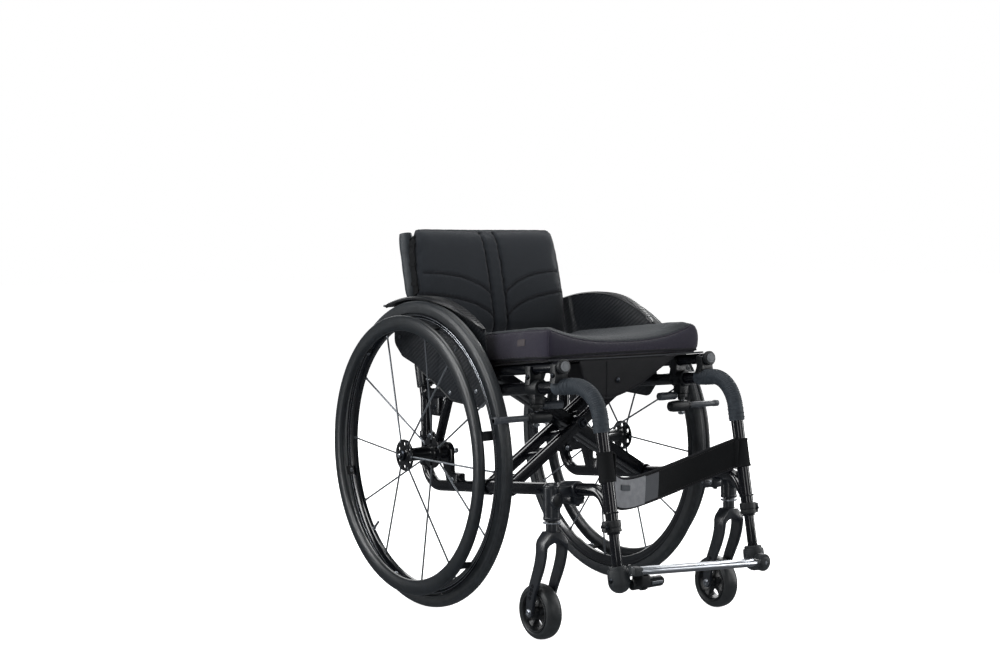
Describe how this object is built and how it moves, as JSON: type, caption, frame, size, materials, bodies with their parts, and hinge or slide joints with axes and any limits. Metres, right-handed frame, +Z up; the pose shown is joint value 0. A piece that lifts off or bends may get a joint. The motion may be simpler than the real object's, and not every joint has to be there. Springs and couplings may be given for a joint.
{
  "type": "folding wheelchair",
  "caption": "Folding wheelchair with a cross-braced frame, large spoked rear wheels with pushrims, swivel castors, padded seat and back, and a flip-up footrest bar.",
  "frame": {"origin": "middle of the outline, on the ground under the chair", "axes": "+Z up, +Y to the rear, +X to the rider's left"},
  "size_m": [0.5778, 0.8612, 0.7461],
  "materials": {
    "frame_paint": "gloss black",
    "hub_paint": "satin black",
    "pushrim_coat": "soft matt coat",
    "dark_plastic": "fine texture",
    "grip_rubber": "ribbed matt",
    "tyre": "matt",
    "steel": "plated",
    "polished": "polished",
    "cloth": "woven nylon",
    "cushion_cloth": "knitted spacer cloth"
  },
  "bodies": {
    "right_side": {"right_side_frame": "frame_paint", "right_front_sleeve": "grip_rubber", "right_front_saddle": "dark_plastic", "right_rear_saddle": "dark_plastic", "right_castor_clamp": "frame_paint", "right_castor_housing": "frame_paint", "right_leg_extension": "frame_paint", "right_leg_collar": "dark_plastic", "right_foot_bracket": "dark_plastic", "right_back_tube": "frame_paint", "right_back_clamp": "dark_plastic", "right_sideguard": "dark_plastic", "right_brake_mount": "frame_paint", "right_axle_pin": "steel", "footrest_latch": "dark_plastic", "backrest_upholstery": "cloth", "calf_strap": "cloth"},
    "left_side": {"left_side_frame": "frame_paint", "left_front_sleeve": "grip_rubber", "left_front_saddle": "dark_plastic", "left_rear_saddle": "dark_plastic", "left_castor_clamp": "frame_paint", "left_castor_housing": "frame_paint", "left_leg_extension": "frame_paint", "left_leg_collar": "dark_plastic", "left_foot_bracket": "dark_plastic", "left_back_tube": "frame_paint", "left_back_clamp": "dark_plastic", "left_sideguard": "dark_plastic", "left_brake_mount": "frame_paint", "left_axle_pin": "steel"},
    "arm_a": {"brace_arm_a": "frame_paint", "brace_bolt": "steel", "left_seat_rail": "frame_paint"},
    "arm_b": {"brace_arm_b": "frame_paint", "right_seat_rail": "frame_paint"},
    "seat": {"seat_sling": "cloth", "seat_cushion": "cushion_cloth"},
    "footrest": {"footrest_bar": "polished"},
    "right_wheel": {"right_tyre": "tyre", "right_rim": "frame_paint", "right_wheel_hub": "hub_paint", "right_pushrim": "pushrim_coat"},
    "right_button": {"right_axle_button": "steel"},
    "right_swivel": {"right_castor_fork": "frame_paint"},
    "right_castor": {"right_castor_tyre": "tyre", "right_castor_hub": "dark_plastic"},
    "right_lever": {"right_brake_lever": "dark_plastic"},
    "right_shoe": {"right_brake_shoe": "frame_paint"},
    "left_wheel": {"left_tyre": "tyre", "left_rim": "frame_paint", "left_wheel_hub": "hub_paint", "left_pushrim": "pushrim_coat"},
    "left_button": {"left_axle_button": "steel"},
    "left_swivel": {"left_castor_fork": "frame_paint"},
    "left_castor": {"left_castor_tyre": "tyre", "left_castor_hub": "dark_plastic"},
    "left_lever": {"left_brake_lever": "dark_plastic"},
    "left_shoe": {"left_brake_shoe": "frame_paint"}
  },
  "joints": [
    {"name": "fold", "type": "hinge", "parent": "right_side", "child": "arm_a", "pos_m": [-0.175, -0.04539, 0.24865], "axis": [0, -0.9954, 0.0958], "range_deg": [0, 38], "deforming": ["backrest_upholstery", "calf_strap"]},
    {"name": "brace_cross", "type": "hinge", "parent": "arm_a", "child": "arm_b", "pos_m": [0, -0.0349, 0.35764], "axis": [0, 0.9954, -0.0958], "range_deg": [0, 76]},
    {"name": "left_side_fold", "type": "hinge", "parent": "arm_b", "child": "left_side", "pos_m": [0.175, -0.04539, 0.24865], "axis": [0, -0.9954, 0.0958], "range_deg": [0, 38]},
    {"name": "seat_level", "type": "hinge", "parent": "arm_a", "child": "seat", "pos_m": [0.175, -0.0244, 0.46664], "axis": [0, 0.9954, -0.0958], "range_deg": [0, 38], "deforming": ["seat_sling", "seat_cushion"]},
    {"name": "footrest_flip", "type": "hinge", "parent": "left_side", "child": "footrest", "pos_m": [0.15, -0.41589, 0.1248], "axis": [0, 1, 0], "range_deg": [0, 88]},
    {"name": "right_wheel_spin", "type": "hinge", "parent": "right_side", "child": "right_wheel", "pos_m": [-0.2356, 0.13061, 0.3], "axis": [1, 0, 0], "continuous": true},
    {"name": "right_button_press", "type": "slide", "parent": "right_side", "child": "right_button", "axis": [1, 0, 0], "range_m": [0, 0.004], "stiffness_N_per_m": 800},
    {"name": "right_castor_swivel", "type": "hinge", "parent": "right_side", "child": "right_swivel", "pos_m": [-0.213, -0.26339, 0.24], "axis": [0, 0, 1], "continuous": true},
    {"name": "right_castor_spin", "type": "hinge", "parent": "right_swivel", "child": "right_castor", "pos_m": [-0.213, -0.22739, 0.05], "axis": [1, 0, 0], "continuous": true},
    {"name": "right_brake_lever_swing", "type": "hinge", "parent": "right_side", "child": "right_lever", "pos_m": [-0.176, -0.16939, 0.412], "axis": [0, 0, -1], "range_deg": [0, 75]},
    {"name": "right_brake_shoe_swing", "type": "hinge", "parent": "right_side", "child": "right_shoe", "pos_m": [-0.176, -0.16939, 0.391], "axis": [0, 0, -1], "range_deg": [0, 7.2]},
    {"name": "left_wheel_spin", "type": "hinge", "parent": "left_side", "child": "left_wheel", "pos_m": [0.2356, 0.13061, 0.3], "axis": [1, 0, 0], "continuous": true},
    {"name": "left_button_press", "type": "slide", "parent": "left_side", "child": "left_button", "axis": [-1, 0, 0], "range_m": [0, 0.004], "stiffness_N_per_m": 800},
    {"name": "left_castor_swivel", "type": "hinge", "parent": "left_side", "child": "left_swivel", "pos_m": [0.213, -0.26339, 0.24], "axis": [0, 0, 1], "continuous": true},
    {"name": "left_castor_spin", "type": "hinge", "parent": "left_swivel", "child": "left_castor", "pos_m": [0.213, -0.22739, 0.05], "axis": [1, 0, 0], "continuous": true},
    {"name": "left_brake_lever_swing", "type": "hinge", "parent": "left_side", "child": "left_lever", "pos_m": [0.176, -0.16939, 0.412], "axis": [0, 0, 1], "range_deg": [0, 75]},
    {"name": "left_brake_shoe_swing", "type": "hinge", "parent": "left_side", "child": "left_shoe", "pos_m": [0.176, -0.16939, 0.391], "axis": [0, 0, 1], "range_deg": [0, 7.2]}
  ],
  "couplings": [
    {"joint": "brace_cross", "follows": "fold", "ratio": 2},
    {"joint": "left_side_fold", "follows": "fold", "ratio": 1},
    {"joint": "seat_level", "follows": "fold", "ratio": 1},
    {"joint": "footrest_flip", "follows": "fold", "ratio": 2.3157},
    {"joint": "right_brake_shoe_swing", "follows": "right_brake_lever_swing", "ratio": 0.096},
    {"joint": "left_brake_shoe_swing", "follows": "left_brake_lever_swing", "ratio": 0.096}
  ]
}
